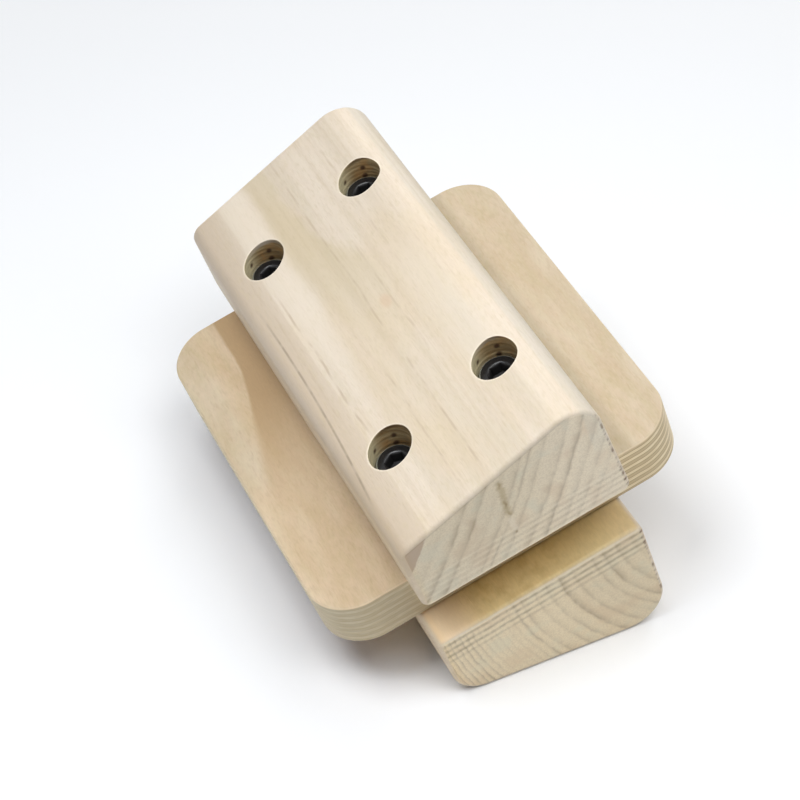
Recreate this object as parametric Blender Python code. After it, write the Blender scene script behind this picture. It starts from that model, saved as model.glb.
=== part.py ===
"""Bolted pinch block for finger training, lying on one of its two wedge blocks.

Two wooden wedge blocks are clamped to the two faces of a plywood plate by four socket head screws. The screws sit
deep in counterbores in the upper block, and their nuts in counterbores in the lower block's outer face.
The stack is modelled square to the plate, and an empty then tilts it, so that the lower block's sloping face lies
flat on the ground.

Directions in the stack: X runs from the blocks' thin side to their thick side, Y along the blocks and Z out of the
plate's upper face. The far end is at +Y. Sizes are in metres.
"""

import math

import bmesh
import bpy
from mathutils import Matrix, Vector

# Plywood plate
PLATE_WIDTH = 0.124
PLATE_LENGTH = 0.138
PLATE_THICKNESS = 0.018
PLATE_CORNER_RADIUS = 0.0155
PLATE_EDGE_ROUNDOVER = 0.0008

# Wedge blocks
BLOCK_LENGTH = 0.165
BLOCK_WIDTH = 0.072
BLOCK_THIN_HEIGHT = 0.028
BLOCK_THICK_HEIGHT = 0.048
BLOCK_BASE_EDGE_RADIUS = 0.003
BLOCK_END_ROUNDOVER = 0.0015
UPPER_THIN_EDGE_RADIUS = 0.005
UPPER_THICK_EDGE_RADIUS = 0.0115
UPPER_THICK_SIDE_LEAN = 0.0026
UPPER_BLOCK_SHIFT = 0.0014
LOWER_THIN_EDGE_RADIUS = 0.012
LOWER_THICK_EDGE_RADIUS = 0.012

# Hole pattern, the same through both blocks and the plate
HOLE_SPACING_ACROSS = 0.0392
HOLE_SPACING_ALONG = 0.0968
SCREW_HOLE_DIAMETER = 0.009
HEAD_COUNTERBORE_DIAMETER = 0.0146
HEAD_COUNTERBORE_DEPTH = 0.017
NUT_COUNTERBORE_DIAMETER = 0.0175
NUT_COUNTERBORE_DEPTH = 0.020

# Fasteners
SCREW_DIAMETER = 0.008
SCREW_HEAD_DIAMETER = 0.013
SCREW_HEAD_HEIGHT = 0.008
SCREW_HEAD_EDGE = 0.0009
SCREW_TIP_CHAMFER = 0.0008
SCREW_STICK_OUT = 0.003
SOCKET_WIDTH = 0.006
SOCKET_DEPTH = 0.004
SOCKET_POINT_DEPTH = 0.0012
WASHER_THICKNESS = 0.0016
HEAD_WASHER_RADIAL_CLEARANCE = 0.0003
NUT_WASHER_RADIAL_CLEARANCE = 0.0005
NUT_WIDTH = 0.013
NUT_HEIGHT = 0.0065
NUT_FACE_INSET = 0.0003
NUT_CHAMFER_ANGLE = math.radians(30)
THREAD_CLEARANCE = 0.0003

# Gap kept between two pieces that rest on each other
SEAT_GAP = 0.0003

# Facets
CORNER_STEPS = 10
SMALL_CORNER_STEPS = 4
EDGE_STEPS = 3
BORE_STEPS = 40
ROUND_STEPS = 32
CUTTER_OVERSHOOT = 0.01
SMOOTH_ANGLE = math.radians(35)

# Points closer than this are made one
MERGE_DISTANCE = 1e-7

# Angle that each screw's socket has ended up at, by the hole's place
SOCKET_TURNS = {
    "thin_near": math.radians(36),
    "thick_near": math.radians(0),
    "thin_far": math.radians(20),
    "thick_far": math.radians(44),
}


def clear_scene():
    """Remove every object, so that the file holds this part alone."""
    for existing in list(bpy.data.objects):
        bpy.data.objects.remove(existing, do_unlink=True)


def make_material(name, colour, roughness, metallic):
    """Principled material in one colour."""
    material = bpy.data.materials.new(name)
    material.use_nodes = True
    shader = material.node_tree.nodes["Principled BSDF"]
    shader.inputs["Base Color"].default_value = (*colour, 1.0)
    shader.inputs["Roughness"].default_value = roughness
    shader.inputs["Metallic"].default_value = metallic
    return material


def finish_mesh(name, shape):
    """Turn a bmesh into a mesh with outward faces, shaded smooth but for its sharp edges."""
    bmesh.ops.recalc_face_normals(shape, faces=shape.faces)
    mesh = bpy.data.meshes.new(name)
    shape.to_mesh(mesh)
    shape.free()
    mesh.shade_smooth()
    mesh.set_sharp_from_angle(angle=SMOOTH_ANGLE)
    return mesh


def add_piece(name, mesh, material, parent, location=(0.0, 0.0, 0.0), turn=0.0):
    """Place one piece of the stack under the tilting empty."""
    if not mesh.materials:
        mesh.materials.append(material)
    piece = bpy.data.objects.new(name, mesh)
    piece.parent = parent
    piece.location = location
    piece.rotation_euler = (0.0, 0.0, turn)
    bpy.context.scene.collection.objects.link(piece)
    return piece


def shape_piece(piece, name, tool_mesh, operation="DIFFERENCE"):
    """Cut a mesh of tools out of a piece, or keep what it covers by INTERSECT, in the piece's own frame."""
    tool = bpy.data.objects.new(name, tool_mesh)
    tool.parent = piece
    tool.hide_render = True
    tool.display_type = "WIRE"
    bpy.context.scene.collection.objects.link(tool)
    boolean = piece.modifiers.new(name, "BOOLEAN")
    boolean.operation = operation
    boolean.solver = "EXACT"
    boolean.object = tool


def rounded_corners(corners, radii, steps):
    """Points of a closed outline whose corners are replaced by tangent arcs."""
    outline = []
    for index, corner in enumerate(corners):
        here = Vector(corner)
        to_last = (Vector(corners[index - 1]) - here).normalized()
        to_next = (Vector(corners[(index + 1) % len(corners)]) - here).normalized()
        half_angle = to_last.angle(to_next) / 2
        centre = here + (to_last + to_next).normalized() * radii[index] / math.sin(half_angle)
        first = here + to_last * radii[index] / math.tan(half_angle) - centre
        sweep = first.angle_signed(here + to_next * radii[index] / math.tan(half_angle) - centre)
        for step in range(steps[index] + 1):
            turned = Matrix.Rotation(-sweep * step / steps[index], 2) @ first
            outline.append(centre + turned)
    return outline


def extrude_outline(points, direction, edge_radius, edge_steps):
    """Extrude a flat outline along a direction and round the edges of its two end faces."""
    shape = bmesh.new()
    start_face = shape.faces.new([shape.verts.new(point) for point in points])
    extruded = bmesh.ops.extrude_face_region(shape, geom=[start_face])
    end_verts = [item for item in extruded["geom"] if isinstance(item, bmesh.types.BMVert)]
    end_faces = [item for item in extruded["geom"] if isinstance(item, bmesh.types.BMFace)]
    bmesh.ops.translate(shape, vec=direction, verts=end_verts)
    rim_edges = {edge for face in [start_face, *end_faces] for edge in face.edges}
    bmesh.ops.recalc_face_normals(shape, faces=shape.faces)
    bmesh.ops.bevel(
        shape,
        geom=list(rim_edges),
        offset=edge_radius,
        offset_type="OFFSET",
        segments=edge_steps,
        profile=0.5,
        affect="EDGES",
        clamp_overlap=False,
    )
    return shape


def turn_profile(shape, profile, centre=(0.0, 0.0), steps=ROUND_STEPS):
    """Turn a profile of (radius, height) points about an upright axis and add it to a bmesh.

    The profile starts and ends on the axis, or is closed when it stays clear of the axis.
    """
    on_axis = profile[0][0] == 0.0
    verts = [shape.verts.new((centre[0] + radius, centre[1], height)) for radius, height in profile]
    edges = [shape.edges.new(pair) for pair in zip(verts, verts[1:])]
    if not on_axis:
        edges.append(shape.edges.new((verts[-1], verts[0])))
    bmesh.ops.spin(
        shape,
        geom=verts + edges,
        cent=(centre[0], centre[1], 0.0),
        axis=(0.0, 0.0, 1.0),
        angle=math.tau,
        steps=steps,
        use_merge=True,
    )
    bmesh.ops.remove_doubles(shape, verts=list(shape.verts), dist=MERGE_DISTANCE)


def hole_places():
    """Name and centre of each of the four holes."""
    across = HOLE_SPACING_ACROSS / 2
    along = HOLE_SPACING_ALONG / 2
    return {
        "thin_near": (-across, -along),
        "thick_near": (across, -along),
        "thin_far": (-across, along),
        "thick_far": (across, along),
    }


class WedgeBlock:
    """One wedge block: its outline, and where its sloping face stands over the plate."""

    def __init__(self, side, shift, lean, thin_radius, thick_radius, bore_diameter, bore_depth):
        self.side = side
        self.seat = SEAT_GAP if side > 0 else -(PLATE_THICKNESS + SEAT_GAP)
        self.thin_x = shift - BLOCK_WIDTH / 2
        self.thick_x = shift + BLOCK_WIDTH / 2
        self.lean = lean
        self.thin_radius = thin_radius
        self.thick_radius = thick_radius
        self.bore_diameter = bore_diameter
        self.bore_depth = bore_depth

    def slope(self):
        """Rise of the outer face over its run, from the thin side to the thick side."""
        run = self.thick_x - self.lean - self.thin_x
        return (BLOCK_THICK_HEIGHT - BLOCK_THIN_HEIGHT) / run

    def height(self, x):
        """Height of the outer face over the block's own base at x."""
        return BLOCK_THIN_HEIGHT + (x - self.thin_x) * self.slope()

    def bore_floor(self, x):
        """Height over the base of the counterbore's floor in a hole at x."""
        return self.height(x) - self.bore_depth

    def stack_z(self, height):
        """Place in the stack of a height over the block's base."""
        return self.seat + self.side * height

    def solid(self):
        """The block without its holes: a rounded wedge outline extruded along Y."""
        corners = [
            (self.thin_x, 0.0),
            (self.thick_x, 0.0),
            (self.thick_x - self.lean, BLOCK_THICK_HEIGHT),
            (self.thin_x, BLOCK_THIN_HEIGHT),
        ]
        radii = [BLOCK_BASE_EDGE_RADIUS, BLOCK_BASE_EDGE_RADIUS, self.thick_radius, self.thin_radius]
        steps = [SMALL_CORNER_STEPS, SMALL_CORNER_STEPS, CORNER_STEPS, CORNER_STEPS]
        outline = rounded_corners(corners, radii, steps)
        points = [(x, -BLOCK_LENGTH / 2, self.stack_z(height)) for x, height in outline]
        return extrude_outline(points, (0.0, BLOCK_LENGTH, 0.0), BLOCK_END_ROUNDOVER, EDGE_STEPS)

    def drills(self, name):
        """The four stepped drills: a screw hole right through and a counterbore from the outer face."""
        shape = bmesh.new()
        screw_radius = SCREW_HOLE_DIAMETER / 2
        bore_radius = self.bore_diameter / 2
        top = self.stack_z(BLOCK_THICK_HEIGHT + CUTTER_OVERSHOOT)
        bottom = self.stack_z(-CUTTER_OVERSHOOT)
        for centre in hole_places().values():
            floor = self.stack_z(self.bore_floor(centre[0]))
            profile = [
                (0.0, bottom),
                (screw_radius, bottom),
                (screw_radius, floor),
                (bore_radius, floor),
                (bore_radius, top),
                (0.0, top),
            ]
            turn_profile(shape, profile, centre, BORE_STEPS)
        return finish_mesh(name, shape)


def plate_solid():
    """The plate without its holes: a rounded rectangle with softened edges."""
    half_width = PLATE_WIDTH / 2
    half_length = PLATE_LENGTH / 2
    corners = [
        (-half_width, -half_length),
        (half_width, -half_length),
        (half_width, half_length),
        (-half_width, half_length),
    ]
    outline = rounded_corners(corners, [PLATE_CORNER_RADIUS] * 4, [CORNER_STEPS] * 4)
    points = [(x, y, -PLATE_THICKNESS) for x, y in outline]
    return extrude_outline(points, (0.0, 0.0, PLATE_THICKNESS), PLATE_EDGE_ROUNDOVER, EDGE_STEPS)


def plate_drills(name):
    """The four plain drills through the plate."""
    shape = bmesh.new()
    radius = SCREW_HOLE_DIAMETER / 2
    top = CUTTER_OVERSHOOT
    bottom = -PLATE_THICKNESS - CUTTER_OVERSHOOT
    for centre in hole_places().values():
        turn_profile(shape, [(0.0, bottom), (radius, bottom), (radius, top), (0.0, top)], centre, BORE_STEPS)
    return finish_mesh(name, shape)


def hexagon_prism(shape, width, bottom, top, point_depth=0.0):
    """Add a hexagonal prism, measured across its flats, with an optional point below it."""
    corner_radius = width / math.sqrt(3)
    corners = [
        (corner_radius * math.cos(math.radians(60 * k)), corner_radius * math.sin(math.radians(60 * k)))
        for k in range(6)
    ]
    lower = [shape.verts.new((x, y, bottom)) for x, y in corners]
    upper = [shape.verts.new((x, y, top)) for x, y in corners]
    shape.faces.new(upper)
    for k in range(6):
        shape.faces.new((lower[k], lower[(k + 1) % 6], upper[(k + 1) % 6], upper[k]))
    if point_depth > 0.0:
        tip = shape.verts.new((0.0, 0.0, bottom - point_depth))
        for k in range(6):
            shape.faces.new((lower[k], lower[(k + 1) % 6], tip))
    else:
        shape.faces.new(lower)


def screw_mesh(name, length):
    """Socket head screw without its socket: the head stands on z = 0 and the shank runs down."""
    head_radius = SCREW_HEAD_DIAMETER / 2
    shank_radius = SCREW_DIAMETER / 2
    edge_centre = (head_radius - SCREW_HEAD_EDGE, SCREW_HEAD_HEIGHT - SCREW_HEAD_EDGE)
    head_edge = [
        (
            edge_centre[0] + SCREW_HEAD_EDGE * math.cos(math.pi / 2 * k / EDGE_STEPS),
            edge_centre[1] + SCREW_HEAD_EDGE * math.sin(math.pi / 2 * k / EDGE_STEPS),
        )
        for k in range(EDGE_STEPS + 1)
    ]
    profile = [
        (0.0, -length),
        (shank_radius - SCREW_TIP_CHAMFER, -length),
        (shank_radius, -length + SCREW_TIP_CHAMFER),
        (shank_radius, 0.0),
        (head_radius, 0.0),
        *head_edge,
        (0.0, SCREW_HEAD_HEIGHT),
    ]
    shape = bmesh.new()
    turn_profile(shape, profile)
    return finish_mesh(name, shape)


def socket_mesh(name):
    """The hexagonal socket's tool, which ends in a shallow point as a pressed socket does."""
    shape = bmesh.new()
    bottom = SCREW_HEAD_HEIGHT - SOCKET_DEPTH
    hexagon_prism(shape, SOCKET_WIDTH, bottom, SCREW_HEAD_HEIGHT + CUTTER_OVERSHOOT, SOCKET_POINT_DEPTH)
    return finish_mesh(name, shape)


def washer_mesh(name, outer_radius):
    """Flat washer that stands on z = 0."""
    inner_radius = SCREW_DIAMETER / 2 + THREAD_CLEARANCE
    profile = [
        (inner_radius, 0.0),
        (outer_radius, 0.0),
        (outer_radius, WASHER_THICKNESS),
        (inner_radius, WASHER_THICKNESS),
    ]
    shape = bmesh.new()
    turn_profile(shape, profile)
    return finish_mesh(name, shape)


def nut_mesh(name):
    """Blank of a hexagon nut on z = 0: a turned ring with both ends chamfered, whose six flats are cut later."""
    shape = bmesh.new()
    corner_radius = NUT_WIDTH / math.sqrt(3)
    face_radius = NUT_WIDTH / 2 - NUT_FACE_INSET
    chamfer = (corner_radius - face_radius) * math.tan(NUT_CHAMFER_ANGLE)
    bore_radius = SCREW_DIAMETER / 2 + THREAD_CLEARANCE
    profile = [
        (bore_radius, 0.0),
        (face_radius, 0.0),
        (corner_radius, chamfer),
        (corner_radius, NUT_HEIGHT - chamfer),
        (face_radius, NUT_HEIGHT),
        (bore_radius, NUT_HEIGHT),
    ]
    turn_profile(shape, profile)
    return finish_mesh(name, shape)


def nut_outline_mesh(name):
    """Hexagonal prism that the nut's turned blank is cut down to."""
    shape = bmesh.new()
    hexagon_prism(shape, NUT_WIDTH, -CUTTER_OVERSHOOT, NUT_HEIGHT + CUTTER_OVERSHOOT)
    return finish_mesh(name, shape)


def add_tilt(lower):
    """Empty that lays the stack on the lower block's outer face, with the plate's middle over the origin."""
    angle = -math.atan(lower.slope())
    rotation = Matrix.Rotation(angle, 4, "Y")
    plate_middle = rotation @ Vector((0.0, 0.0, -PLATE_THICKNESS / 2))
    resting_point = rotation @ Vector((lower.thin_x, 0.0, lower.stack_z(BLOCK_THIN_HEIGHT)))
    tilt = bpy.data.objects.new("lying_tilt", None)
    tilt.rotation_euler = (0.0, angle, 0.0)
    tilt.location = (-plate_middle.x, 0.0, -resting_point.z)
    bpy.context.scene.collection.objects.link(tilt)
    return tilt


def add_wood(upper, lower, tilt):
    """The plate between its two blocks."""
    block_wood = make_material("pale_block_wood", (0.80, 0.70, 0.55), 0.62, 0.0)
    plywood = make_material("birch_plywood", (0.66, 0.50, 0.32), 0.60, 0.0)
    for name, block in (("upper_block", upper), ("lower_block", lower)):
        piece = add_piece(name, finish_mesh(name, block.solid()), block_wood, tilt)
        shape_piece(piece, name + "_drills", block.drills(name + "_drills"))
    plate = add_piece("plywood_plate", finish_mesh("plywood_plate", plate_solid()), plywood, tilt)
    shape_piece(plate, "plate_drills", plate_drills("plate_drills"))


def add_fasteners(upper, lower, tilt):
    """A screw, its washer, a second washer and a nut in each of the four holes."""
    black_steel = make_material("black_oxide_steel", (0.03, 0.03, 0.035), 0.35, 0.9)
    plated_steel = make_material("zinc_plated_steel", (0.62, 0.63, 0.65), 0.32, 1.0)
    head_washer = washer_mesh("head_washer", HEAD_COUNTERBORE_DIAMETER / 2 - HEAD_WASHER_RADIAL_CLEARANCE)
    nut_washer = washer_mesh("nut_washer", NUT_COUNTERBORE_DIAMETER / 2 - NUT_WASHER_RADIAL_CLEARANCE)
    nut_blank = nut_mesh("nut")
    nut_outline = nut_outline_mesh("nut_outline")
    socket = socket_mesh("screw_socket")
    screw_meshes = {}
    for place, (x, y) in hole_places().items():
        washer_z = upper.stack_z(upper.bore_floor(x)) + SEAT_GAP
        head_z = washer_z + WASHER_THICKNESS + SEAT_GAP
        nut_washer_z = lower.stack_z(lower.bore_floor(x)) - SEAT_GAP - WASHER_THICKNESS
        nut_z = nut_washer_z - SEAT_GAP - NUT_HEIGHT
        if x not in screw_meshes:
            screw_meshes[x] = screw_mesh("screw_" + place, head_z - nut_z + SCREW_STICK_OUT)
        turn = SOCKET_TURNS[place]
        screw = add_piece("screw_" + place, screw_meshes[x], black_steel, tilt, (x, y, head_z), turn)
        shape_piece(screw, "socket_" + place, socket)
        add_piece("head_washer_" + place, head_washer, black_steel, tilt, (x, y, washer_z))
        add_piece("nut_washer_" + place, nut_washer, plated_steel, tilt, (x, y, nut_washer_z))
        nut = add_piece("nut_" + place, nut_blank, plated_steel, tilt, (x, y, nut_z), -turn)
        shape_piece(nut, "flats_" + place, nut_outline, "INTERSECT")


clear_scene()
upper_block = WedgeBlock(
    side=1,
    shift=UPPER_BLOCK_SHIFT,
    lean=UPPER_THICK_SIDE_LEAN,
    thin_radius=UPPER_THIN_EDGE_RADIUS,
    thick_radius=UPPER_THICK_EDGE_RADIUS,
    bore_diameter=HEAD_COUNTERBORE_DIAMETER,
    bore_depth=HEAD_COUNTERBORE_DEPTH,
)
lower_block = WedgeBlock(
    side=-1,
    shift=0.0,
    lean=0.0,
    thin_radius=LOWER_THIN_EDGE_RADIUS,
    thick_radius=LOWER_THICK_EDGE_RADIUS,
    bore_diameter=NUT_COUNTERBORE_DIAMETER,
    bore_depth=NUT_COUNTERBORE_DEPTH,
)
tilting_empty = add_tilt(lower_block)
add_wood(upper_block, lower_block, tilting_empty)
add_fasteners(upper_block, lower_block, tilting_empty)
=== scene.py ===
"""Pinch block for finger training, as photographed: two wooden wedge blocks bolted to a plywood plate.

The assembly lies on the lower block's sloping face. Its pieces are worked out square to the plate, in the
stack's own directions: X from the blocks' thin side to their thick side, Y along the blocks, Z out of the
plate's upper face. They are then laid down with it. Sizes are in metres, and patterns are written in
millimetres of the stack.
"""

import math

import bmesh
import bpy
import numpy as np
from mathutils import Matrix, Vector


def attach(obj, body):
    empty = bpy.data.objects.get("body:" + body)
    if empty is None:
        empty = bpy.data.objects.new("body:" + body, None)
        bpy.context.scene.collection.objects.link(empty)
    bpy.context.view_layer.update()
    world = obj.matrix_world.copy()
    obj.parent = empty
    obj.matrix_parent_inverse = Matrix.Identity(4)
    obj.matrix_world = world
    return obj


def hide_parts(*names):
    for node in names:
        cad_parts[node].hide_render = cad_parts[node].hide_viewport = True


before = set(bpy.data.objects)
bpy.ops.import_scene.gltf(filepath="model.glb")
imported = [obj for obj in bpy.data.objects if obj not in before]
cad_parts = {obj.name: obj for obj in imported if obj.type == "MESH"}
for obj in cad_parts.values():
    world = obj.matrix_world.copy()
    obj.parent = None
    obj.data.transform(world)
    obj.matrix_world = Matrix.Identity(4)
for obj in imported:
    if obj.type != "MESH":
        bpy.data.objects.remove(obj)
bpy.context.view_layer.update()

# Camera
# It stands in front of the near ends, a little to the left, and looks down at about 43 degrees.
CAMERA_PLACE = Vector((-0.22407, -0.52162, 0.58289))
CAMERA_FORWARD = Vector((0.28077, 0.67019, -0.68704)).normalized()
CAMERA_UP = Vector((0.31734, 0.61075, 0.72545))
SENSOR_WIDTH = 36.0
LENS_LENGTH = 109.045
camera_right = CAMERA_FORWARD.cross(CAMERA_UP).normalized()
camera_up = camera_right.cross(CAMERA_FORWARD)
lens = bpy.data.cameras.new("camera")
lens.sensor_width = SENSOR_WIDTH
lens.lens = LENS_LENGTH
lens.clip_start = 0.05
camera = bpy.data.objects.new("camera", lens)
camera_turn = Matrix((camera_right, camera_up, -CAMERA_FORWARD)).transposed().to_4x4()
camera.matrix_world = Matrix.Translation(CAMERA_PLACE) @ camera_turn
bpy.context.scene.collection.objects.link(camera)
bpy.context.scene.camera = camera
bpy.context.scene.view_settings.view_transform = "Standard"


# Studio
# A pale sheet of card under a ring of soft lamps. Away from the object the card turns into the pale backdrop,
# which is also what the eye and mirrors see of the room.
def tone(red, green, blue):
    """Linear colour of a tone given as it looks, 0 to 255: the display curve undone channel by channel."""
    shown = np.array([red, green, blue]) / 255.0
    linear = np.where(shown <= 0.04045, shown / 12.92, ((shown + 0.055) / 1.055) ** 2.4)
    return (*linear.tolist(), 1.0)


FLOOR_HALF_WIDTH = 4.0
FLOOR_COLOUR = tone(253, 254, 255)
ROOM_STRENGTH = 0.02
ROOM_COLOUR = (0.8, 0.9, 1.0, 1.0)
BACKDROP_COLOUR = tone(250, 251, 252)
BACKDROP_STARTS, BACKDROP_FULL = 0.2, 0.7
LAMP_AIM = Vector((0.0, 0.0, 0.05))
LAMP_WHITE, LAMP_COOL = (1.0, 1.0, 1.0), (0.72, 0.93, 1.3)
LAMPS = {
    "top_left_lamp": ((-0.35, 0.0, 0.95), 0.5, 4.8, LAMP_WHITE),
    "top_near_lamp": ((0.0, -0.4, 0.95), 0.5, 3.2, LAMP_WHITE),
    "top_right_lamp": ((0.35, 0.0, 0.95), 0.5, 1.5, LAMP_WHITE),
    "near_right_lamp": ((0.5, -0.55, 0.8), 0.75, 1.7, LAMP_WHITE),
    "far_right_lamp": ((0.6, 0.6, 0.7), 0.6, 2.0, LAMP_WHITE),
    "left_lamp": ((-0.6, -0.2, 0.9), 0.9, 1.05, LAMP_COOL),
}


def add_node(tree, kind, values=(), **settings):
    """New node in a tree, its settings made and its inputs joined or filled in by name or number."""
    node = tree.nodes.new("ShaderNode" + kind)
    for key, value in settings.items():
        setattr(node, key, value)
    for key, value in dict(values).items():
        if isinstance(value, bpy.types.NodeSocket):
            tree.links.new(value, node.inputs[key])
        else:
            node.inputs[key].default_value = value
    return node


def seen_or_mirrored(tree):
    """Output that is 1 for what is seen straight, in a mirror or through glass: three kinds of ray, added."""
    rays = add_node(tree, "LightPath").outputs
    total = rays["Is Camera Ray"]
    for ray in ("Is Glossy Ray", "Is Transmission Ray"):
        total = add_node(tree, "Math", {0: total, 1: rays[ray]}, operation="ADD").outputs[0]
    return total


floor_paint = bpy.data.materials.new("floor_card")
floor_paint.use_nodes = True
floor_tree = floor_paint.node_tree
card = floor_tree.nodes["Principled BSDF"]
card.inputs["Base Color"].default_value = FLOOR_COLOUR
card.inputs["Roughness"].default_value = 0.9
card.inputs["Specular IOR Level"].default_value = 0.1
floor_place = add_node(floor_tree, "TexCoord").outputs["Object"]
from_middle = add_node(floor_tree, "VectorMath", {0: floor_place}, operation="LENGTH").outputs["Value"]
far_range = {0: from_middle, 1: BACKDROP_STARTS, 2: BACKDROP_FULL}
far_off = add_node(floor_tree, "MapRange", far_range, interpolation_type="SMOOTHSTEP").outputs[0]
far_and_seen = {0: far_off, 1: seen_or_mirrored(floor_tree)}
far_and_seen = add_node(floor_tree, "Math", far_and_seen, operation="MULTIPLY").outputs[0]
far_white = add_node(floor_tree, "Emission", {"Color": BACKDROP_COLOUR}).outputs[0]
floor_mix = add_node(floor_tree, "MixShader", {0: far_and_seen, 1: card.outputs[0], 2: far_white}).outputs[0]
floor_tree.links.new(floor_mix, floor_tree.nodes["Material Output"].inputs["Surface"])

floor_mesh = bpy.data.meshes.new("floor")
corners = [(x * FLOOR_HALF_WIDTH, y * FLOOR_HALF_WIDTH, 0.0) for x, y in ((-1, -1), (1, -1), (1, 1), (-1, 1))]
floor_mesh.from_pydata(corners, [], [(0, 1, 2, 3)])
floor_mesh.materials.append(floor_paint)
floor = bpy.data.objects.new("floor", floor_mesh)
bpy.context.scene.collection.objects.link(floor)

room = bpy.data.worlds.new("room")
room.use_nodes = True
room_tree = room.node_tree
room_light = room_tree.nodes["Background"]
room_light.inputs["Color"].default_value = ROOM_COLOUR
room_light.inputs["Strength"].default_value = ROOM_STRENGTH
room_white = add_node(room_tree, "Background", {"Color": BACKDROP_COLOUR, "Strength": 1.0}).outputs[0]
room_mix = {0: seen_or_mirrored(room_tree), 1: room_light.outputs[0], 2: room_white}
room_mix = add_node(room_tree, "MixShader", room_mix).outputs[0]
room_tree.links.new(room_mix, room_tree.nodes["World Output"].inputs["Surface"])
bpy.context.scene.world = room

for lamp_name, (lamp_place, lamp_width, lamp_power, lamp_colour) in LAMPS.items():
    lamp_data = bpy.data.lights.new(lamp_name, "AREA")
    lamp_data.shape = "DISK"
    lamp_data.size = lamp_width
    lamp_data.energy = lamp_power
    lamp_data.color = lamp_colour
    lamp = bpy.data.objects.new(lamp_name, lamp_data)
    lamp.location = lamp_place
    lamp.rotation_euler = (LAMP_AIM - lamp.location).to_track_quat("-Z", "Y").to_euler()
    bpy.context.scene.collection.objects.link(lamp)

# Upper block
# A wedge of pale close-grained wood, sawn square at its ends and sanded, its long edges rounded by a router.
# Four stepped holes are bored from its sloping face, and the bit left rings and scorched spots on the walls.
PLATE_THICKNESS = 0.018
SEAT_GAP = 0.0003
BLOCK_LENGTH = 0.165
BLOCK_WIDTH = 0.072
THIN_HEIGHT = 0.028
THICK_HEIGHT = 0.048
END_ROUNDOVER = 0.0015
BASE_EDGE_RADIUS = 0.003
HOLE_ACROSS = 0.0196
HOLE_ALONG = 0.0484
SCREW_HOLE_RADIUS = 0.0045
HOLE_RIM_ROUNDOVER = 0.00025
MERGE_DISTANCE = 2e-6
SHARP_ANGLE = math.radians(40)

LYING_ANGLE = -math.atan((THICK_HEIGHT - THIN_HEIGHT) / BLOCK_WIDTH)
LYING_TURN = np.array(Matrix.Rotation(LYING_ANGLE, 3, "Y"))
plate_middle = LYING_TURN @ np.array([0.0, 0.0, -PLATE_THICKNESS / 2])
resting_corner = LYING_TURN @ np.array([-BLOCK_WIDTH / 2, 0.0, -PLATE_THICKNESS - SEAT_GAP - THIN_HEIGHT])
LYING_SHIFT = np.array([-plate_middle[0], 0.0, -resting_corner[2]])


def lay_down(points):
    """Points of the stack turned about Y by the lying angle, then lifted on to the floor."""
    return points @ LYING_TURN.T + LYING_SHIFT


def closed_piece(name, grids, material):
    """One closed mesh from grids of stack points: each cell is a quad, and shared points are made one."""
    quads, start = [], 0
    for grid in grids:
        rows, columns = grid.shape[:2]
        index = start + np.arange(rows * columns).reshape(rows, columns)
        cells = [index[:-1, :-1], index[1:, :-1], index[1:, 1:], index[:-1, 1:]]
        quads.append(np.stack(cells, axis=-1).reshape(-1, 4))
        start += rows * columns
    points = lay_down(np.concatenate([grid.reshape(-1, 3) for grid in grids]))
    mesh = bpy.data.meshes.new(name)
    mesh.from_pydata(points.tolist(), [], np.concatenate(quads).tolist())
    shape = bmesh.new()
    shape.from_mesh(mesh)
    bmesh.ops.remove_doubles(shape, verts=shape.verts, dist=MERGE_DISTANCE)
    bmesh.ops.recalc_face_normals(shape, faces=shape.faces)
    shape.to_mesh(mesh)
    shape.free()
    mesh.shade_smooth()
    mesh.set_sharp_from_angle(angle=SHARP_ANGLE)
    mesh.materials.append(material)
    piece = bpy.data.objects.new(name, mesh)
    bpy.context.scene.collection.objects.link(piece)
    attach(piece, "root")
    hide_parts(name.removesuffix("_finished"))


def unit(angle):
    """Unit vectors at some angles: their cosines and sines."""
    return np.stack([np.cos(angle), np.sin(angle)], axis=-1)


def heading(vector):
    """Angle of a vector in the plane."""
    return math.atan2(vector[1], vector[0])


def rounded_polygon(corners, radii, arc_steps, side_steps):
    """Arcs and sides of a rounded polygon in order, each as (points, outward normals).

    An arc is its centre plus the radius times a unit vector that swings from one side's normal to the next
    one's. A side is cut into equal parts between the ends of its two arcs.
    """
    corners = np.array(corners, float)
    along = np.roll(corners, -1, axis=0) - corners
    along /= np.linalg.norm(along, axis=1, keepdims=True)
    outward = np.stack([along[:, 1], -along[:, 0]], axis=-1)
    arcs = []
    for k, corner_point in enumerate(corners):
        before, after = outward[k - 1], outward[k]
        centre = corner_point - radii[k] * (before + after) / (1.0 + before @ after)
        first = heading(before)
        swing = (heading(after) - first) % math.tau
        normals = unit(first + swing * np.linspace(0.0, 1.0, arc_steps + 1))
        arcs.append((centre + radii[k] * normals, normals))
    parts = []
    for k, arc in enumerate(arcs):
        begin, end = arc[0][-1], arcs[(k + 1) % len(arcs)][0][0]
        share = np.linspace(0.0, 1.0, side_steps[k] + 1)[:, None]
        side = begin + (end - begin) * share
        parts += [arc, (side, np.repeat(outward[k][None], len(side), axis=0))]
    return parts


def cell_border(x_low, x_high, y_low, y_high, across_steps, along_steps):
    """Points round a rectangle, from its lowest corner and counterclockwise, back to the start."""
    x, y = np.linspace(x_low, x_high, across_steps + 1), np.linspace(y_low, y_high, along_steps + 1)
    all_x = [x[:-1], np.full(along_steps, x_high), x[:0:-1], np.full(along_steps + 1, x_low)]
    all_y = [np.full(across_steps, y_low), y[:-1], np.full(across_steps, y_high), y[::-1]]
    return np.stack([np.concatenate(all_x), np.concatenate(all_y)], axis=-1)


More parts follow.
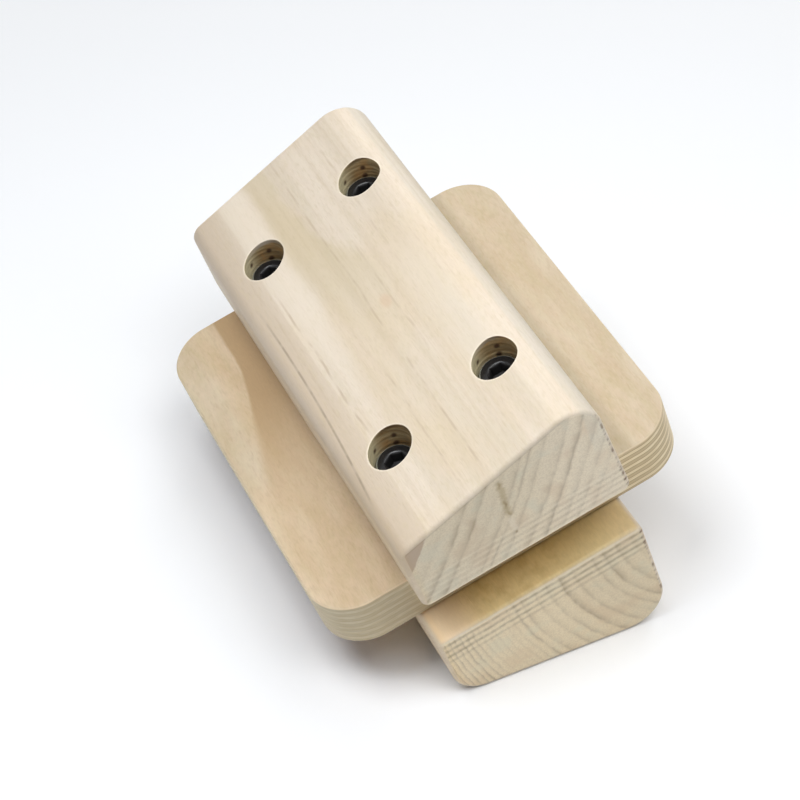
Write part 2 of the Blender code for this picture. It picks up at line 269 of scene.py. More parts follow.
def ring_angles(across_steps, along_steps):
    """Angles of the points round a hole, equally spaced, that lie against the points of its cell's border."""
    count = 2 * (across_steps + along_steps)
    return -math.pi / 2 + math.tau * (np.arange(count + 1) - across_steps / 2) / count


def flat_round_hole(border, centre, radius, angles, steps):
    """Rows of points in a plane that change from a cell's border to the circle round its hole."""
    circle = np.array(centre) + radius * unit(angles)
    share = (np.linspace(0.0, 1.0, steps + 1) ** 0.7)[:, None, None]
    return border[None] * (1.0 - share) + circle[None] * share


ACROSS_STEPS = 12
ALONG_STEPS = 30
THICK_SIDE_STEPS = 10
THIN_SIDE_STEPS = 6
ARC_STEPS = 16
END_STEPS = 6
FACE_STEPS = 14
RIM_STEPS = 5
WALL_STEPS = 80
FLOOR_STEPS = 3
SCREW_HOLE_STEPS = 4
BASE_RIM_STEPS = 4
BASE_STEPS = 8
ROOF_MARGIN = 0.0024
RING_FADE = 0.0006
BIT_WANDER = [(3.0e-5, 3900.0, 0.0), (1.2e-5, 9100.0, 1.0), (1.6e-5, 2300.0, 2.0)]


def bit_rings(height):
    """How far the bit wandered from the bore's radius at a height: sines of unlike pitch, added up."""
    return sum(width * np.sin(height * pitch + start) for width, pitch, start in BIT_WANDER)


class WedgeOutline:
    """Rounded outline of a wedge block, as (across, height over the base).

    Its outer face is a roof between two places across, which is straight and runs into the corner's circle at
    either end. The rest of the outline runs from the roof's high end round the base to its low end.
    """

    def __init__(self, thin_x, thick_x, lean, thin_radius, thick_radius, roof_low, roof_high):
        corners = [(thin_x, 0.0), (thick_x, 0.0), (thick_x - lean, THICK_HEIGHT), (thin_x, THIN_HEIGHT)]
        radii = [BASE_EDGE_RADIUS, BASE_EDGE_RADIUS, thick_radius, thin_radius]
        side_steps = [2 * ACROSS_STEPS, THICK_SIDE_STEPS, 1, THIN_SIDE_STEPS]
        parts = rounded_polygon(corners, radii, ARC_STEPS, side_steps)
        (thick_arc, thick_normals), (face, face_normals), (thin_arc, thin_normals) = parts[4:7]
        self.thick_start, self.thin_start = face[0], face[-1]
        self.normal = face_normals[0]
        self.circles = (
            (thick_arc[-1] - thick_radius * thick_normals[-1], thick_radius),
            (thin_arc[0] - thin_radius * thin_normals[0], thin_radius),
        )
        high_half = np.linspace(roof_high, 0.0, ACROSS_STEPS + 1)
        roof_x = np.concatenate([high_half, np.linspace(0.0, roof_low, ACROSS_STEPS + 1)[1:]])
        self.roof_x = roof_x[::-1]
        roof_heights, roof_normals = self.roof(roof_x)
        self.base_x = parts[1][0][:, 0]
        high_angle, low_angle = heading(roof_normals[0]), heading(roof_normals[-1])
        first, last = heading(thick_normals[0]), heading(thin_normals[-1])
        down = [self.on_circle(0, np.linspace(first, min(high_angle, self.face_angle()), ARC_STEPS + 1))]
        if roof_high < self.thick_start[0]:
            down.append(self.straight(self.thick_start[0], roof_high))
        up = [self.on_circle(1, np.linspace(max(low_angle, self.face_angle()), last, ARC_STEPS + 1))]
        if roof_low > self.thin_start[0]:
            up.insert(0, self.straight(roof_low, self.thin_start[0]))
        roof_part = (np.stack([roof_x, roof_heights], axis=-1), roof_normals)
        self.plain = [parts[0], parts[2], parts[3], *down, *up, parts[7]]
        whole = [parts[0], parts[1], parts[2], parts[3], *down, roof_part, *up, parts[7]]
        self.points = np.concatenate([points[:-1] for points, _ in whole] + [parts[0][0][:1]])
        self.normals = np.concatenate([normals[:-1] for _, normals in whole] + [parts[0][1][:1]])

    def face_angle(self):
        return heading(self.normal)

    def on_circle(self, which, angle):
        """Points of a corner's circle and their normals: the centre plus the radius times the unit vector."""
        centre, radius = self.circles[which]
        normals = unit(angle)
        return centre + radius * normals, normals

    def straight(self, start, end):
        x = np.linspace(start, end, 3)
        heights, normals = self.roof(x)
        return np.stack([x, heights], axis=-1), normals

    def roof(self, x):
        """Height and normal of the outer face at a place across: its line, or the circle it runs into."""
        (thick_centre, thick_radius), (thin_centre, thin_radius) = self.circles
        slope = -self.normal[0] / self.normal[1]
        height = self.thin_start[1] + (x - self.thin_start[0]) * slope
        angle = np.full(np.shape(x), self.face_angle())
        for centre, radius, beyond in (
            (thick_centre, thick_radius, x > self.thick_start[0]),
            (thin_centre, thin_radius, x < self.thin_start[0]),
        ):
            swung = np.arccos(np.clip((x - centre[0]) / radius, -1.0, 1.0))
            height = np.where(beyond, centre[1] + radius * np.sin(swung), height)
            angle = np.where(beyond, swung, angle)
        return height, unit(angle)


def wedge_grids(side, shift, lean, thin_radius, thick_radius, bore_radius, bore_depth):
    """Grids of a wedge block with four stepped holes, as stack points.

    The long faces and rounded edges are the outline carried along Y. The ends are the outline drawn in along
    its normals by a quarter circle, then shrunk to the middle. Each hole is one grid, from a cell of the
    outer face over the rim, down the bore, across its floor and out through the base.
    """
    thin_x, thick_x = shift - BLOCK_WIDTH / 2, shift + BLOCK_WIDTH / 2
    reach = HOLE_ACROSS + bore_radius + ROOF_MARGIN
    block = WedgeOutline(thin_x, thick_x, lean, thin_radius, thick_radius, -reach, reach)
    half = BLOCK_LENGTH / 2 - END_ROUNDOVER
    along = np.linspace(-half, half, 2 * ALONG_STEPS + 1)
    grids = []
    for points, _ in block.plain:
        flat = np.repeat(points[:, None], len(along), axis=1)
        grids.append(np.stack([flat[..., 0], np.broadcast_to(along, flat.shape[:2]), flat[..., 1]], axis=-1))

    quarter = np.linspace(0.0, math.pi / 2, END_STEPS + 1)
    middle = block.points[:-1].mean(axis=0)
    for end in (-1.0, 1.0):
        inset = END_ROUNDOVER * (1.0 - np.cos(quarter))[:, None, None]
        drawn_in = block.points[None] - inset * block.normals[None]
        out = end * (half + END_ROUNDOVER * np.sin(quarter))
        edge = [drawn_in[..., 0], np.broadcast_to(out[:, None], drawn_in.shape[:2]), drawn_in[..., 1]]
        shrink = np.linspace(1.0, 0.0, END_STEPS + 1)[:, None, None]
        cap = middle + shrink * (drawn_in[-1][None] - middle)
        cap = [cap[..., 0], np.full(cap.shape[:2], out[-1]), cap[..., 1]]
        grids += [np.stack(edge, axis=-1), np.stack(cap, axis=-1)]

    angles = ring_angles(ACROSS_STEPS, ALONG_STEPS)
    around = unit(angles)
    for across in (-1, 1):
        x_half = slice(ACROSS_STEPS, None) if across > 0 else slice(0, ACROSS_STEPS + 1)
        roof_x, base_x = block.roof_x[x_half], block.base_x[x_half]
        rise = -(across * HOLE_ACROSS - block.thin_start[0]) * block.normal[0] / block.normal[1]
        floor_height = block.thin_start[1] + rise - bore_depth
        for lengthwise in (-1, 1):
            centre = np.array([across * HOLE_ACROSS, lengthwise * HOLE_ALONG])
            y_range = (-half, 0.0) if lengthwise < 0 else (0.0, half)

            def ring(radius, height, centre=centre):
                spot = centre + np.broadcast_to(radius, angles.shape)[:, None] * around
                return np.concatenate([spot, np.broadcast_to(height, angles.shape)[:, None]], axis=-1)[None]

            border = cell_border(roof_x[0], roof_x[-1], *y_range, ACROSS_STEPS, ALONG_STEPS)
            rows = flat_round_hole(border, centre, bore_radius + HOLE_RIM_ROUNDOVER, angles, FACE_STEPS)
            rings = [np.concatenate([rows, block.roof(rows[..., 0])[0][..., None]], axis=-1)]
            for turn in np.linspace(0.0, math.pi / 2, RIM_STEPS + 1)[1:]:
                radius = bore_radius + HOLE_RIM_ROUNDOVER * (1.0 - math.sin(turn))
                top = block.roof(centre[0] + radius * around[:, 0])[0]
                rings.append(ring(radius, top - HOLE_RIM_ROUNDOVER * (1.0 - math.cos(turn))))
            wall_top = rings[-1][0, :, 2]
            for share in np.linspace(0.0, 1.0, WALL_STEPS + 1)[1:]:
                height = wall_top + (floor_height - wall_top) * share
                fade = np.clip(np.minimum(wall_top - height, height - floor_height) / RING_FADE, 0.0, 1.0)
                rings.append(ring(bore_radius + fade * bit_rings(height), height))
            floor_radii = np.linspace(bore_radius, SCREW_HOLE_RADIUS, FLOOR_STEPS + 1)[1:]
            rings += [ring(radius, floor_height) for radius in floor_radii]
            low = np.linspace(floor_height, HOLE_RIM_ROUNDOVER, SCREW_HOLE_STEPS + 1)[1:]
            rings += [ring(SCREW_HOLE_RADIUS, height) for height in low]
            for turn in np.linspace(0.0, math.pi / 2, BASE_RIM_STEPS + 1)[1:]:
                radius = SCREW_HOLE_RADIUS + HOLE_RIM_ROUNDOVER * (1.0 - math.cos(turn))
                rings.append(ring(radius, HOLE_RIM_ROUNDOVER * (1.0 - math.sin(turn))))
            border = cell_border(base_x[0], base_x[-1], *y_range, ACROSS_STEPS, ALONG_STEPS)
            rim_radius = SCREW_HOLE_RADIUS + HOLE_RIM_ROUNDOVER
            rows = flat_round_hole(border, centre, rim_radius, angles, BASE_STEPS)[::-1]
            rings.append(np.concatenate([rows, np.zeros_like(rows[..., :1])], axis=-1))
            grids.append(np.concatenate(rings))

    seat = SEAT_GAP if side > 0 else -(PLATE_THICKNESS + SEAT_GAP)
    return [np.stack([g[..., 0], g[..., 1], seat + side * g[..., 2]], axis=-1) for g in grids]


WOOD_RELIEF = 0.00005


class Finish:
    """One procedural material, with a short call for each kind of node it uses."""

    def __init__(self, name, **fixed):
        self.material = bpy.data.materials.new(name)
        self.material.use_nodes = True
        self.tree = self.material.node_tree
        self.shader = self.tree.nodes["Principled BSDF"]
        for socket, value in fixed.items():
            self.shader.inputs[socket.replace("_", " ")].default_value = value

    def put(self, kind, values=(), **settings):
        return add_node(self.tree, kind, values, **settings)

    def maths(self, operation, *values):
        return self.put("Math", enumerate(values), operation=operation).outputs[0]

    def stack_point(self):
        """Place in the stack in millimetres: object coordinates with the laying down undone."""
        back = -1000.0 * (LYING_TURN.T @ LYING_SHIFT)
        given = self.put("TexCoord").outputs["Object"]
        values = {0: given, 1: back.tolist(), 2: (0.0, -LYING_ANGLE, 0.0), 3: (1000.0, 1000.0, 1000.0)}
        return self.put("Mapping", values).outputs[0]

    def parts(self, vector):
        return self.put("SeparateXYZ", {0: vector}).outputs

    def plus(self, value, other):
        return self.maths("ADD", value, other)

    def less(self, value, other):
        return self.maths("SUBTRACT", value, other)

    def product(self, *values):
        whole = values[0]
        for value in values[1:]:
            whole = self.maths("MULTIPLY", whole, value)
        return whole

    def length(self, vector):
        return self.put("VectorMath", {0: vector}, operation="LENGTH").outputs["Value"]

    def vector(self, x, y, z):
        return self.put("CombineXYZ", {0: x, 1: y, 2: z}).outputs[0]

    def from_hole_axis(self, x, y):
        """Offsets from the nearest hole's axis: x and y, each less the hole's own with the same sign."""
        return [
            self.maths("MULTIPLY_ADD", self.maths("SIGN", value), -1000.0 * hole, value)
            for value, hole in ((x, HOLE_ACROSS), (y, HOLE_ALONG))
        ]

    def apart(self, value, other):
        return self.maths("ABSOLUTE", self.less(value, other))

    def noise(self, vector, stretch=None, scale=1.0, detail=2.0, roughness=0.5):
        """Noise at a point, or at the point times stretch, so that it is short along the larger numbers."""
        if stretch:
            vector = self.put("VectorMath", {0: vector, 1: stretch}, operation="MULTIPLY").outputs[0]
        values = {"Vector": vector, "Scale": scale, "Detail": detail, "Roughness": roughness}
        return self.put("TexNoise", values).outputs[0]

    def between(self, value, low, high, to_low=0.0, to_high=1.0):
        """Smooth step of a value from low to high."""
        values = {0: value, 1: low, 2: high, 3: to_low, 4: to_high}
        return self.put("MapRange", values, interpolation_type="SMOOTHSTEP").outputs[0]

    def window(self, value, low, low_full, high_full, high):
        """Level of 1 from low_full to high_full, and 0 beyond low and high: two smooth steps, multiplied."""
        return self.product(self.between(value, low, low_full), self.between(value, high, high_full))

    def patches(self, vector, stretch, low, high, to_low=0.0, to_high=1.0, **kind):
        """Smooth step of the noise there from low to high."""
        return self.between(self.noise(vector, stretch, **kind), low, high, to_low, to_high)

    def blend(self, share, first, second, kind="MIX"):
        node = self.put("Mix", {0: share, 6: first, 7: second}, data_type="RGBA", blend_type=kind)
        return node.outputs[2]

    def tones(self, share, first, second):
        return self.blend(share, tone(*first), tone(*second))

    def coats(self, colour, *coats):
        """The colour with coats laid over it in turn, each as (share from 0 to 1, tone as it looks)."""
        for share, looks in coats:
            colour = self.blend(share, colour, tone(*looks))
        return colour

    def shaded(self, colour, level, share=1.0):
        return self.blend(share, colour, self.vector(level, level, level), "MULTIPLY")

    def steps(self, value, stops):
        """Number read off a list of (place, level) stops, straight from one to the next."""
        node = self.put("ValToRGB", {0: value})
        marks = node.color_ramp.elements
        while len(marks) < len(stops):
            marks.new(0.5)
        for mark, (place, level) in zip(marks, stops):
            mark.position = place
            mark.color = (level, level, level, 1.0)
        return node.outputs[0]

    def colour(self, socket):
        self.tree.links.new(socket, self.shader.inputs["Base Color"])

    def roughness(self, socket):
        self.tree.links.new(socket, self.shader.inputs["Roughness"])

    def relief(self, height, depth):
        """Bump from a height of 0 to 1 that stands for depth metres."""
        node = self.put("Bump", {"Height": height, "Distance": depth, "Strength": 1.0})
        self.tree.links.new(node.outputs[0], self.shader.inputs["Normal"])


RING_LINE_WIDTH = 1.3
RINGS_PER_RAMP = 14


def block_wood(name, side, shift, lean, bore_radius, rings, heart_radius, ends, saw_lines, marks):
    """Close-grained pale wood with growth rings about an axis along Y.

    rings holds the axis, as (x, z), and a list of the distances from it, in millimetres, at which a ring
    ends in a darker line, with how dark each is. Along the grain they show as long faint bands, with fine
    dashes of vessel between. The ends show greyer grain inside the sanded edges, in which ends gives the
    inset below the outer face, the inset from the thin side and the tint. The saw left rows across them:
    saw_lines gives the first one's height over the base, the pitch, where they fade, how dark they are and,
    if they grow stronger across the end, the smooth step by which they do. marks adds what one block has
    alone.
    """
    ring_centre, ring_lines = rings
    outer_inset, thin_inset, end_tint = ends
    wood = Finish(name, Roughness=0.52, Specular_IOR_Level=0.4)
    point = wood.stack_point()
    x, y, z = wood.parts(point)[:3]
    seat = 1000.0 * (SEAT_GAP if side > 0 else PLATE_THICKNESS + SEAT_GAP)
    over_base = wood.less(wood.product(z, side), seat)
    outer_slope = (THICK_HEIGHT - THIN_HEIGHT) / (BLOCK_WIDTH - lean)
    thin_x = 1000.0 * (shift - BLOCK_WIDTH / 2)
    outer = wood.maths("MULTIPLY_ADD", x, outer_slope, 1000.0 * THIN_HEIGHT - outer_slope * thin_x)
    depth = wood.less(outer, over_base)
    inward = wood.maths("MULTIPLY_ADD", over_base, -lean / THICK_HEIGHT, thin_x + 1000.0 * BLOCK_WIDTH)
    inward = wood.less(inward, x)
    along = wood.maths("ABSOLUTE", y)
    end_grain = wood.product(
        wood.between(along, 82.38, 82.46),
        wood.between(depth, outer_inset - 0.15, outer_inset + 0.15),
        wood.between(x, thin_x + thin_inset - 0.15, thin_x + thin_inset + 0.15),
        wood.between(inward, 0.7, 1.0),
        wood.between(over_base, 1.0, 1.3),
    )

    # Rings: the distance from their axis, swayed by noise, is read off colour ramps, which hold 32 stops each
    across = wood.less(x, ring_centre[0])
    distance = wood.length(wood.vector(across, 0.0, wood.less(z, ring_centre[1])))
    for stretch, width in (((0.035, 0.006, 0.035), 2.0), ((0.4, 0.03, 0.4), 1.1)):
        sway = wood.less(wood.noise(point, stretch), 0.5)
        distance = wood.plus(distance, wood.product(sway, width))
    ring, low = 0.0, ring_lines[0][0] - 5.0
    for first in range(0, len(ring_lines), RINGS_PER_RAMP):
        some_lines = ring_lines[first : first + RINGS_PER_RAMP]
        high = some_lines[-1][0] + RING_LINE_WIDTH
        stops = [(0.0, 0.0)]
        for line, darkness in some_lines:
            for edge, level in ((line, darkness), (line + RING_LINE_WIDTH, 0.0)):
                stops.append(((edge - low) / (high - low), level))
        place = wood.put("MapRange", {0: distance, 1: low, 2: high}).outputs[0]
        ring = wood.maths("MAXIMUM", ring, wood.steps(place, stops))
        low = high
    ring = wood.maths("POWER", ring, 2.4)
    heart = wood.between(distance, heart_radius + 0.35, heart_radius - 0.35)
    deep_heart = wood.between(distance, heart_radius, heart_radius - 6.0, 0.6, 1.0)

    # Along the grain, and the base where it stands out beyond the plate, painted darker and yellower as its
    # shade
    fibre = wood.noise(point, (2.6, 0.35, 2.6), detail=3.0, roughness=0.65)
    dash = wood.patches(point, (1.7, 0.26, 1.7), 0.55, 0.72, detail=1.0)
    colour = wood.coats(
        wood.tones(wood.patches(point, (0.15, 0.006, 0.15), 0.35, 0.65), (229, 215, 195), (219, 205, 183)),
        (wood.product(wood.patches(point, (0.06, 0.02, 0.06), 0.42, 0.66, detail=3.0), 0.5), (222, 202, 170)),
        (wood.product(wood.patches(point, (0.35, 0.12, 0.35), 0.35, 0.65), 0.25), (226, 208, 190)),
        (wood.product(heart, deep_heart, 0.9), (205, 187, 164)),
        (wood.product(ring, 0.12), (186, 160, 128)),
        (wood.product(wood.patches(point, (0.8, 0.011, 0.8), 0.58, 0.68, detail=1.0), 0.13), (198, 176, 140)),
        (wood.product(dash, 0.16), (194, 173, 136)),
        (wood.patches(point, (0.9, 0.3, 0.9), 0.5, 0.68, 0.0, 0.2, roughness=0.6), (206, 190, 152)),
    )
    base_with_painted_shade = wood.coats(
        wood.tones(wood.patches(point, (0.3, 0.22, 0.3), 0.35, 0.65), (220, 196, 142), (210, 184, 130)),
        (wood.between(x, 4.0, 22.0), (218, 196, 146)),
        (wood.between(x, 22.0, 32.0), (217, 194, 148)),
    )
    grit = wood.patches(point, (0.9, 0.3, 0.9), 0.35, 0.65, 0.965, 1.035, detail=3.0, roughness=0.6)
    # the base's painted shade is lightest towards the thin side
    base_with_painted_shade = wood.coats(wood.shaded(base_with_painted_shade, grit), (wood.between(x, -16.0, -30.0), (242, 216, 178)))
    colour = wood.blend(wood.between(over_base, 1.2, 0.1), colour, base_with_painted_shade)

    # End grain, with rings, heartwood, rows left by the saw and a darker line below the outer face
    cloud = wood.noise(point, (0.11, 0.02, 0.11))
    pore = wood.patches(point, (1.7, 0.3, 1.7), 0.35, 0.68, roughness=0.6)
    end_colour = wood.coats(
        wood.tones(pore, (238, 224, 198), (227, 212, 186)),
        (wood.between(cloud, 0.5, 0.7, 0.0, 0.5), (222, 200, 172)),
        (wood.between(cloud, 0.45, 0.3, 0.0, 0.4), (222, 218, 198)),
    )
    # End grain lighter further from the rings' axis
    paler_from_ring_axis = wood.between(distance, ring_lines[3][0], ring_lines[8][0], 0.94, 1.04)
    end_colour = wood.shaded(end_colour, paler_from_ring_axis)
    saw_first, saw_pitch, saw_top, saw_darkness, saw_reach = saw_lines
    lift = wood.maths("MULTIPLY_ADD", wood.noise(point, (0.12, 0.12, 0.12)), 0.8, over_base)
    turn = wood.product(wood.less(lift, saw_first + 0.4), math.tau / saw_pitch)
    turn = wood.maths("COSINE", turn)
    broken = wood.patches(point, (0.45, 0.1, 0.45), 0.3, 0.6, 0.4, 1.0)
    saw = wood.maths("POWER", wood.maths("MULTIPLY_ADD", turn, 0.5, 0.5), 1.8)
    saw = wood.product(saw, broken, wood.between(over_base, saw_top + 2.5, saw_top - 3.0))
    if saw_reach:
        saw = wood.product(saw, wood.between(x, *saw_reach))
    saw_crest = wood.maths("POWER", wood.maths("MULTIPLY_ADD", turn, -0.5, 0.5), 2.5)
    saw_crest = wood.product(saw_crest, broken, wood.between(over_base, saw_top + 2.5, saw_top - 1.0), 0.3)
    faded_ring = wood.product(ring, wood.patches(point, (0.16, 0.02, 0.16), 0.35, 0.6, 0.35, 0.8))
    end_colour = wood.coats(
        end_colour,
        (faded_ring, (176, 157, 130)),
        (wood.product(heart, 0.9), (190, 167, 145)),
        (wood.product(saw, saw_darkness), (150, 134, 106)),
        (saw_crest, (244, 234, 214)),
    )
    end_colour = wood.blend(1.0, end_colour, end_tint, "MULTIPLY")
    below_edge = wood.between(depth, outer_inset + 0.9, outer_inset + 0.2, 0.0, 0.25)
    colour = wood.blend(end_grain, colour, wood.coats(end_colour, (below_edge, (150, 130, 106))))

    # Painted highlight along the base's rounded edge at the ends, and painted warm shade on the thin side
    # towards the near end
    base_edge_highlight = wood.product(wood.window(over_base, 0.5, 0.9, 1.3, 1.7), wood.between(along, 81.9, 82.2))
    colour = wood.blend(wood.product(base_edge_highlight, 0.6 if side > 0 else 0.3), colour, tone(250, 238, 208))
    thin_side_warm_shade = wood.product(wood.between(x, thin_x + 4.0, thin_x + 1.0), wood.between(y, -20.0, -60.0))
    colour = wood.blend(thin_side_warm_shade, colour, (1.0, 0.965, 0.89, 1.0), "MULTIPLY")

    # Scorched dots down the thick side of the ends, where the saw came out
    speckle = wood.patches(wood.vector(0.0, 0.0, wood.product(over_base, 0.42)), None, 0.45, 0.62)
    near_side = wood.apart(inward, 0.85)
    dots = wood.product(wood.between(near_side, 1.0, 0.3), wood.maths("POWER", saw, 1.5), 1.6)
    dots = wood.maths("MAXIMUM", dots, wood.product(wood.between(near_side, 0.7, 0.1), speckle, 0.8))
    dots = wood.product(wood.maths("MINIMUM", dots, 1.0), wood.between(along, 81.6, 82.0))
    dots = wood.product(dots, wood.between(depth, 6.0, 12.0), 0.9)
    colour = wood.blend(dots, colour, tone(104, 70, 36))

    # Bored walls, browned and ringed by the bit, scorched in the same places in each, with painted light and
    # shade
    sideways, lengthways = wood.from_hole_axis(x, y)
    from_axis = wood.length(wood.vector(sideways, lengthways, 0.0))
    wall_radius = 1000.0 * bore_radius
    facing = wood.product(sideways, 1.0 / wall_radius)
    cut = wood.patches(point, (0.04, 0.04, 0.7), 0.3, 0.7, detail=1.0)
    wall = wood.coats(
        wood.tones(cut, (196, 174, 132), (150, 122, 82)),
        (wood.patches(point, (0.25, 0.25, 0.25), 0.45, 0.7, 0.0, 0.6), (188, 142, 86)),
        # painted light: each wall paler on its thin side
        (wood.between(facing, 0.1, -0.75), (216, 205, 168)),
        # painted shade: darker just under the rim on the thick side
        (wood.product(wood.between(depth, 1.7, 0.8), wood.between(facing, -0.5, 0.3), 0.75), (88, 64, 36)),
    )
    spot_place = wood.vector(sideways, lengthways, depth)
    for degrees, spot_depth, size in ((62, 4.6, 0.8), (64, 8.1, 0.9), (122, 4.2, 0.6)):
        turned = math.radians(degrees)
        spot = (wall_radius * math.cos(turned), wall_radius * math.sin(turned), spot_depth)
        gap = wood.put("VectorMath", {0: spot_place, 1: spot}, operation="DISTANCE").outputs["Value"]
        wall = wood.coats(wall, (wood.between(gap, size + 0.6, size - 0.4, 0.0, 0.9), (66, 38, 22)))
    # painted highlight: a pale ring just outside each rim
    rim_highlight = wood.between(from_axis, wall_radius + 0.8, wall_radius + 0.3, 0.0, 0.5)
    colour = wood.coats(colour, (rim_highlight, (244, 232, 212)))
    colour = wood.blend(wood.between(from_axis, wall_radius + 0.14, wall_radius + 0.06), colour, wall)

    colour = wood.shaded(colour, wood.between(fibre, 0.25, 0.75, 0.972, 1.026))
    if marks:
        colour = marks(wood, (x, y, z, depth), end_grain, colour)
    wood.colour(colour)
    wood.roughness(wood.between(fibre, 0.3, 0.7, 0.48, 0.6))
    grain = wood.less(wood.product(fibre, 0.5), wood.product(dash, 0.3))
    wood.relief(wood.less(grain, wood.product(saw, end_grain, 0.9)), WOOD_RELIEF)
    return wood.material


# Pith at the ends, as heights over the plate's upper face and how dark each fleck is
PITH_LOW, PITH_HIGH = 8.0, 38.0
PITH_FLECKS = [
    (9.6, 0.0), (10.4, 1.0), (11.3, 0.0), (18.0, 0.0), (19.0, 0.6), (20.2, 0.55), (21.4, 0.25), (22.6, 0.4),
    (23.8, 0.9), (25.2, 0.7), (26.3, 0.1), (27.6, 0.25), (29.0, 0.05), (31.2, 0.1), (32.6, 0.7), (34.0, 0.5),
    (35.3, 0.0),
]  # fmt: skip
# Thin dark lines along the top, as place across, near end, far end and how dark each is
TOP_LINES = [
    (-0.8, -80, 80, 0.34), (-8.6, -80, -20, 0.26), (6.2, -32, 30, 0.26), (14.6, 8, 80, 0.26),
    (-22.6, -46, 28, 0.42), (-27.0, -30, 40, 0.16), (22.5, -20, 40, 0.14),
]  # fmt: skip


def upper_marks(wood, place, end_grain, colour):
    """The upper block's marks: a warm flame and lines on top, a vein by the thin edge, pith on the ends."""
    x, y, z, depth = place
    on_top = wood.between(depth, 2.0, 1.0)
    flame_shape = wood.noise(wood.vector(x, y, 0.0), (0.07, 0.022, 1.0), detail=3.0, roughness=0.6)
    flame_x = wood.less(wood.less(x, 8.0), wood.between(y, 50.0, 15.0, -9.0, -1.5))
    flame_x = wood.maths("ABSOLUTE", wood.maths("MULTIPLY_ADD", flame_shape, 16.0, flame_x))
    flame_x = wood.maths("DIVIDE", flame_x, wood.between(y, 50.0, 15.0, 5.0, 9.5))
    flame = wood.product(wood.between(flame_x, 1.3, 0.5), wood.between(y, -20.0, 32.0, 0.25, 1.0))
    colour = wood.coats(colour, (wood.product(flame, on_top, 0.48), (204, 187, 150)))
    colour = wood.shaded(colour, wood.between(y, -75.0, 80.0, 1.045, 0.945), on_top)
    thick_pale = wood.product(wood.window(x, 8.0, 17.0, 19.0, 27.0), wood.window(y, -60.0, -40.0, -5.0, 25.0))
    thin_pale = wood.product(wood.window(x, -26.0, -20.0, -17.0, -10.0), wood.between(y, -30.0, 20.0))
    colour = wood.coats(
        colour,
        (wood.product(thick_pale, on_top, 0.35), (240, 228, 208)),
        (wood.product(thin_pale, on_top, 0.5), (240, 227, 208)),
    )
    for line_x, near_y, far_y, strength in TOP_LINES:
        sway = wood.noise(wood.vector(line_x, y, 0.0), (1.0, 0.035, 1.0))
        off = wood.less(wood.maths("MULTIPLY_ADD", sway, -2.6, x), line_x - 1.3)
        line = wood.between(wood.maths("ABSOLUTE", off), 0.55, 0.1)
        ends = wood.window(y, near_y - 8.0, near_y + 8.0, far_y - 8.0, far_y + 8.0)
        uneven = wood.patches(wood.vector(line_x, y, 3.0), (1.0, 0.12, 1.0), 0.3, 0.65)
        colour = wood.coats(colour, (wood.product(line, ends, uneven, on_top, strength), (172, 146, 112)))

    knot_along = wood.maths("MULTIPLY_ADD", y, 0.6, 1.0)
    knot = wood.length(wood.vector(wood.less(x, 4.0), knot_along, 0.0))
    bow = wood.maths("POWER", wood.product(wood.less(y, 8.0), 0.0257), 2.0)
    vein = wood.maths("ABSOLUTE", wood.plus(wood.plus(x, 29.8), bow))
    vein = wood.product(wood.between(vein, 0.55, 0.1), wood.between(z, 20.0, 24.0))
    broken = wood.patches(wood.vector(0.0, y, 0.0), (0.0, 0.16, 0.0), 0.3, 0.6, 0.35, 1.0)
    colour = wood.coats(
        colour,
        (wood.product(wood.between(knot, 2.6, 0.8), on_top, 0.4), (216, 182, 150)),
        (wood.product(vein, wood.window(y, -63.0, -52.0, 12.0, 36.0), broken, 0.55), (130, 113, 94)),
    )

    # Pith on the ends: dark flecks in a brown streak, and a paler streak below it
    level = wood.put("MapRange", {0: z, 1: PITH_LOW, 2: PITH_HIGH}).outputs[0]
    flecks = [((height - PITH_LOW) / (PITH_HIGH - PITH_LOW), amount) for height, amount in PITH_FLECKS]
    sway = wood.maths("MULTIPLY_ADD", wood.noise(wood.vector(0.0, 0.0, z), (0.0, 0.0, 0.45)), 2.4, -1.2)
    off = wood.apart(x, wood.plus(wood.between(z, 20.0, 34.0, -0.15, 0.45), sway))
    streak = wood.product(wood.window(z, 17.6, 19.5, 33.0, 36.0), wood.between(off, 1.7, 0.5), 0.5)
    below = wood.product(wood.window(z, 10.8, 12.5, 16.8, 18.4), wood.between(off, 1.4, 0.4), 0.4)
    core = wood.product(wood.steps(level, flecks), wood.between(off, 0.65, 0.1), 0.6)
    colour = wood.coats(
        colour,
        (wood.product(streak, end_grain), (178, 156, 110)),
        (wood.product(below, end_grain), (240, 228, 206)),
        (wood.product(core, end_grain), (134, 104, 58)),
    )
    cool = wood.product(wood.between(x, 0.0, 26.0), end_grain)
    colour = wood.blend(cool, colour, (1.04, 1.05, 1.09, 1.0), "MULTIPLY")

    # Past the crest of the thick edge a painted sheen makes the wood greyer, and a painted highlight makes
    # the crest a pale line
    crest_highlight = wood.length(wood.vector(wood.less(x, 29.7), 0.0, wood.less(z, 44.6)))
    beyond = wood.product(wood.between(x, 29.6, 31.0), wood.between(z, 20.0, 30.0))
    colour = wood.blend(beyond, colour, (0.97, 1.01, 1.05, 1.0), "MULTIPLY")
    return wood.coats(colour, (wood.between(crest_highlight, 0.9, 0.3, 0.0, 0.45), (248, 238, 218)))


